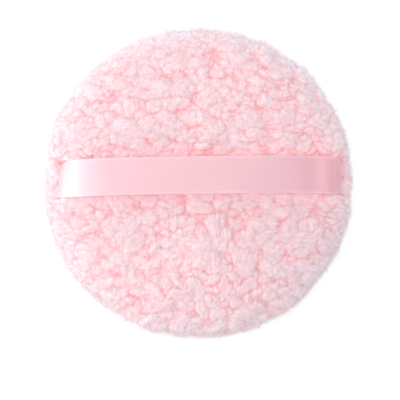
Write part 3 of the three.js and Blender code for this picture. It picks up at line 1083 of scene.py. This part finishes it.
class PUFF_OT_wadding(bpy.types.Operator):
    """Makes the filling inside the covers"""

    bl_idname = "puff.wadding"
    bl_label = "Wadding"

    def execute(self, context):
        points, faces = self.lumpy_pad(121)
        material = wadding_material(context.scene.puff_colours)
        pad = new_piece("wadding_pad_fibre", points, [faces], material, ["wadding_pad"])
        return {"FINISHED"}

    def lumpy_pad(self, count):
        """Two domes, halves of an ellipsoid dented by noise, on either side of the slot for the seam."""
        share, angle = disc_grid(count)
        side_room, top_room = 0.0004, 0.0006
        radius = WADDING_HIGH.y
        out = share * 0.5 * np.pi
        r = (radius - side_room) * np.sin(out)
        z = SLOT_FLOOR + (WADDING_HIGH.z - SEAM_Z - SLOT_FLOOR - top_room) * np.cos(out)
        upper = np.stack([r * np.cos(angle), r * np.sin(angle), z], axis=-1)
        lumps = np.abs(0.0003 * soft_noise(upper, 0.004, 5) + 0.0001 * soft_noise(upper, 0.0012, 6))
        upper *= (1 - lumps / radius)[:, None]
        upper[:, 2] -= lumps * np.cos(out)
        lower = upper * [1, 1, -1]
        rim = grid_rim(count)
        slot = PUFF_RADIUS - WALL - SEAM_ALLOWANCE - CLEARANCE
        slot_x, slot_y = slot * np.cos(angle[rim]), slot * np.sin(angle[rim])
        edges = [np.full(len(rim), side[rim[0], 2]) for side in (upper, lower)]
        waist = [np.stack([slot_x, slot_y, edge], axis=-1) for edge in edges]
        points = np.concatenate([upper, *waist, lower])
        points[:, 2] += SEAM_Z
        first_waist = len(upper) + np.arange(len(rim))
        first_lower = len(upper) + 2 * len(rim)
        rings = np.stack([rim, first_waist, first_waist + len(rim), first_lower + rim])
        wall = rings.ravel()[strip_quads(4, len(rim), closed_columns=True)][:, ::-1]
        dome = strip_quads(count, count)
        return points, np.concatenate([dome, wall, first_lower + dome[:, ::-1]])


class PUFF_OT_threads(bpy.types.Operator):
    """Makes the rim seam's stitches and the ladder stitches that close the turning gap"""

    bl_idname = "puff.threads"
    bl_label = "Threads"

    def execute(self, context):
        material = thread_material(context.scene.puff_colours)
        ply = context.scene.puff_sizes.thread_ply
        ladder_radius = PUFF_RADIUS - WALL
        half_gap = TURNING_GAP / 2 / ladder_radius
        before, after = math.pi / 2 - half_gap, math.pi / 2 + half_gap
        rim_radius = RIM_THREAD_HIGH.x - CAD_THREAD_RADIUS
        rim_height = RIM_THREAD_HIGH.z - SEAM_Z - CAD_THREAD_RADIUS
        ladder_height = GAP_THREAD_HIGH.z - SEAM_Z - CAD_THREAD_RADIUS
        for node, radius, height, pitch, start, end in (
            ("rim_seam_thread", rim_radius, rim_height, STITCH_LENGTH, after, before + 2 * math.pi),
            ("closing_thread", ladder_radius, ladder_height, LADDER_STITCH, before, after),
        ):
            line = self.stitched_line(radius, height, pitch, start, end)
            points, faces = self.twisted_tube(line, ply)
            new_piece(node + "_cotton", points, faces, material, [node])
        return {"FINISHED"}

    def stitched_line(self, radius, height, pitch, start, end):
        """A line that crosses the seam between stitches and runs above and below it in turn.

        Its corners are rounded by taking each point's mean with its neighbours twice.
        """
        stitches = round(radius * (end - start) / pitch)
        angles = np.repeat(np.linspace(start, end, stitches + 1), 2)[1:-1]
        z = SEAM_Z + height * np.tile([1, 1, -1, -1], stitches)[: len(angles)]
        corners = np.stack([radius * np.cos(angles), radius * np.sin(angles), z], axis=-1)
        arc = np.concatenate([[0], np.cumsum(np.linalg.norm(np.diff(corners, axis=0), axis=-1))])
        even = np.arange(0, arc[-1], THREAD_STEP)
        line = np.stack([np.interp(even, arc, corners[:, i]) for i in range(3)], axis=-1)
        for _ in range(2):
            line[1:-1] = (line[:-2] + 2 * line[1:-1] + line[2:]) / 4
        return line

    def twisted_tube(self, line, ply):
        """A tube along a line. Its section has two lobes, r = ply * (0.72 + 0.24 |cos|), and twists."""
        sides = 10
        along = unit(np.gradient(line, axis=0))
        outward = unit(line * [1, 1, 0])
        across = unit(np.cross(along, outward))
        outward = np.cross(across, along)
        turn = np.linspace(0, 2 * np.pi, sides, endpoint=False)[None, :]
        twist = np.arange(len(line))[:, None] * THREAD_STEP / PLY_TURN * np.pi
        reach = ply * (0.72 + 0.24 * np.abs(np.cos(turn + twist)))
        way = np.cos(turn)[..., None] * outward[:, None] + np.sin(turn)[..., None] * across[:, None]
        points = line[:, None] + reach[..., None] * way
        quads = strip_quads(len(line), sides, closed_columns=True)[:, ::-1]
        last = (len(line) - 1) * sides
        ends = [np.arange(sides)[None], last + np.arange(sides)[None, ::-1]]
        return points.reshape(-1, 3), [quads, *ends]


class PUFF_OT_stage(bpy.types.Operator):
    """Makes the floor, the light and the camera"""

    bl_idname = "puff.stage"
    bl_label = "Stage"

    def execute(self, context):
        settings = context.scene.puff_stage
        self.add_floor()
        self.add_world(context.scene, settings.world_strength)
        for name, place, size, power in (
            ("key", (-0.53, 0.0, 0.15), (0.18, 0.30), settings.key_power),
            ("side", (-0.42, 0.0, 0.38), (0.3, 0.25), 0.6 * settings.key_power),
            ("fill", (0.52, 0.0, 0.15), (0.3, 0.10), settings.fill_power),
            ("high_right", (0.33, 0.0, 0.56), (0.2, 0.2), 1.15 * settings.fill_power),
            ("top", (-0.08, 0.0, 0.7), (0.6, 0.6), settings.top_power),
        ):
            self.add_softbox(name, place, size, power)
        self.add_camera(context.scene, settings)
        context.scene.view_settings.view_transform = "Standard"
        return {"FINISHED"}

    def add_floor(self):
        """A white floor just under the puff, so that no face of the puff lies in it."""
        half, drop = 2.0, 0.0001
        corners = [(-half, -half, 0), (half, -half, 0), (half, half, 0), (-half, half, 0)]
        mesh = bpy.data.meshes.new("floor")
        mesh.from_pydata(corners, [], [(0, 1, 2, 3)])
        mesh.materials.append(self.floor_material())
        floor = bpy.data.objects.new("floor", mesh)
        floor.location.z = -drop
        bpy.context.scene.collection.objects.link(floor)

    def floor_material(self):
        """White. The camera sees only a little of its shadows, and shiny things see it bright at the left."""
        material, shader, add = start_material("floor")
        set_inputs(shader, {"Base Color": (0.9, 0.9, 0.9, 1), "Roughness": 0.9})
        rays = add("ShaderNodeLightPath").outputs
        seen = maths(add, "MAXIMUM", rays["Is Camera Ray"], rays["Is Glossy Ray"])
        share = maths(add, "MULTIPLY", seen, 0.8)
        place = add("ShaderNodeSeparateXYZ", {0: add("ShaderNodeTexCoord").outputs["Object"]})
        card = remapped(add, place.outputs["X"], (-0.12, -0.04), (3.3, -0.75))
        shine = maths(add, "MULTIPLY_ADD", card, rays["Is Glossy Ray"], 1.08)
        white = add("ShaderNodeEmission", {"Color": (1, 1, 1, 1), "Strength": shine})
        both = add("ShaderNodeMixShader", {0: share, 1: shader.outputs[0], 2: white.outputs[0]})
        output = next(node for node in material.node_tree.nodes if node.type == "OUTPUT_MATERIAL")
        set_inputs(output, {"Surface": both.outputs[0]})
        return material

    def add_world(self, scene, strength):
        """Light from all round, weaker and cooler towards the right. The camera sees it at strength 1."""
        world = bpy.data.worlds.new("studio")
        world.use_nodes = True
        add = node_adder(world.node_tree)
        way = add("ShaderNodeTexCoord").outputs["Generated"]
        along_x = add("ShaderNodeSeparateXYZ", {0: way}).outputs["X"]
        to_right = remapped(add, along_x, (-1, 1), (0, 1))
        colour = mixed_colour(add, to_right, (1.03, 1, 0.995), (0.69, 0.85, 0.89))
        to_light = add("ShaderNodeVectorMath", {0: way, 1: (-0.43, 0.22, 0)}, operation="DOT_PRODUCT")
        slope = remapped(add, to_light.outputs["Value"], (0, 1), (strength, 2 * strength), clamp=False)
        seen = add("ShaderNodeLightPath").outputs["Is Camera Ray"]
        background = world.node_tree.nodes["Background"]
        set_inputs(background, {"Color": colour, "Strength": remapped(add, seen, (0, 1), (slope, 1))})
        scene.world = world

    def add_softbox(self, name, place, size, power):
        """A rectangular area light that faces the puff."""
        light = bpy.data.lights.new(name, "AREA")
        light.shape = "RECTANGLE"
        light.size, light.size_y = size
        light.energy = power
        lamp = bpy.data.objects.new(name, light)
        lamp.location = place
        target = Vector((0, 0, SEAM_Z))
        lamp.rotation_euler = (target - lamp.location).to_track_quat("-Z", "Y").to_euler()
        bpy.context.scene.collection.objects.link(lamp)

    def add_camera(self, scene, settings):
        """A long lens almost straight above, framed so that the puff is where the photograph has it."""
        data = bpy.data.cameras.new("camera")
        camera = bpy.data.objects.new("camera", data)
        pixel = 2 * PUFF_RADIUS / PUFF_PIXELS
        data.lens = data.sensor_width * settings.camera_distance / (PHOTO_PIXELS * pixel)
        middle = PHOTO_PIXELS / 2
        aim = Vector(((middle - PUFF_COLUMN) * pixel, (PUFF_ROW - middle) * pixel, SEAM_Z))
        back = Vector((0, -math.sin(settings.camera_tilt), math.cos(settings.camera_tilt)))
        camera.location = aim + settings.camera_distance * back
        camera.rotation_euler = (settings.camera_tilt, 0, -settings.camera_roll)
        data.clip_end = 10
        scene.collection.objects.link(camera)
        scene.camera = camera


class PUFF_PT_panel(bpy.types.Panel):
    """Shows the puff's settings and the buttons that make its pieces"""

    bl_idname = "PUFF_PT_panel"
    bl_label = "Powder Puff"
    bl_space_type = "VIEW_3D"
    bl_region_type = "UI"
    bl_category = "Puff"

    def draw(self, context):
        for group in (context.scene.puff_sizes, context.scene.puff_colours, context.scene.puff_stage):
            for key in group.bl_rna.properties.keys():
                if key not in {"rna_type", "name"}:
                    self.layout.prop(group, key)
        for operator in OPERATORS:
            self.layout.operator(operator.bl_idname)


GROUPS = (PuffSizes, PuffColours, StageSettings)
OPERATORS = (PUFF_OT_covers, PUFF_OT_ribbon, PUFF_OT_wadding, PUFF_OT_threads, PUFF_OT_stage)


def register():
    for item in (*GROUPS, *OPERATORS, PUFF_PT_panel):
        bpy.utils.register_class(item)
    bpy.types.Scene.puff_sizes = PointerProperty(type=PuffSizes)
    bpy.types.Scene.puff_colours = PointerProperty(type=PuffColours)
    bpy.types.Scene.puff_stage = PointerProperty(type=StageSettings)


def unregister():
    del bpy.types.Scene.puff_stage
    del bpy.types.Scene.puff_colours
    del bpy.types.Scene.puff_sizes
    for item in reversed((*GROUPS, *OPERATORS, PUFF_PT_panel)):
        bpy.utils.unregister_class(item)


def main():
    """Makes every piece and the stage."""
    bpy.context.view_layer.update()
    register()
    bpy.ops.puff.covers()
    bpy.ops.puff.ribbon()
    bpy.ops.puff.wadding()
    bpy.ops.puff.threads()
    bpy.ops.puff.stage()


if __name__ == "__main__":
    main()
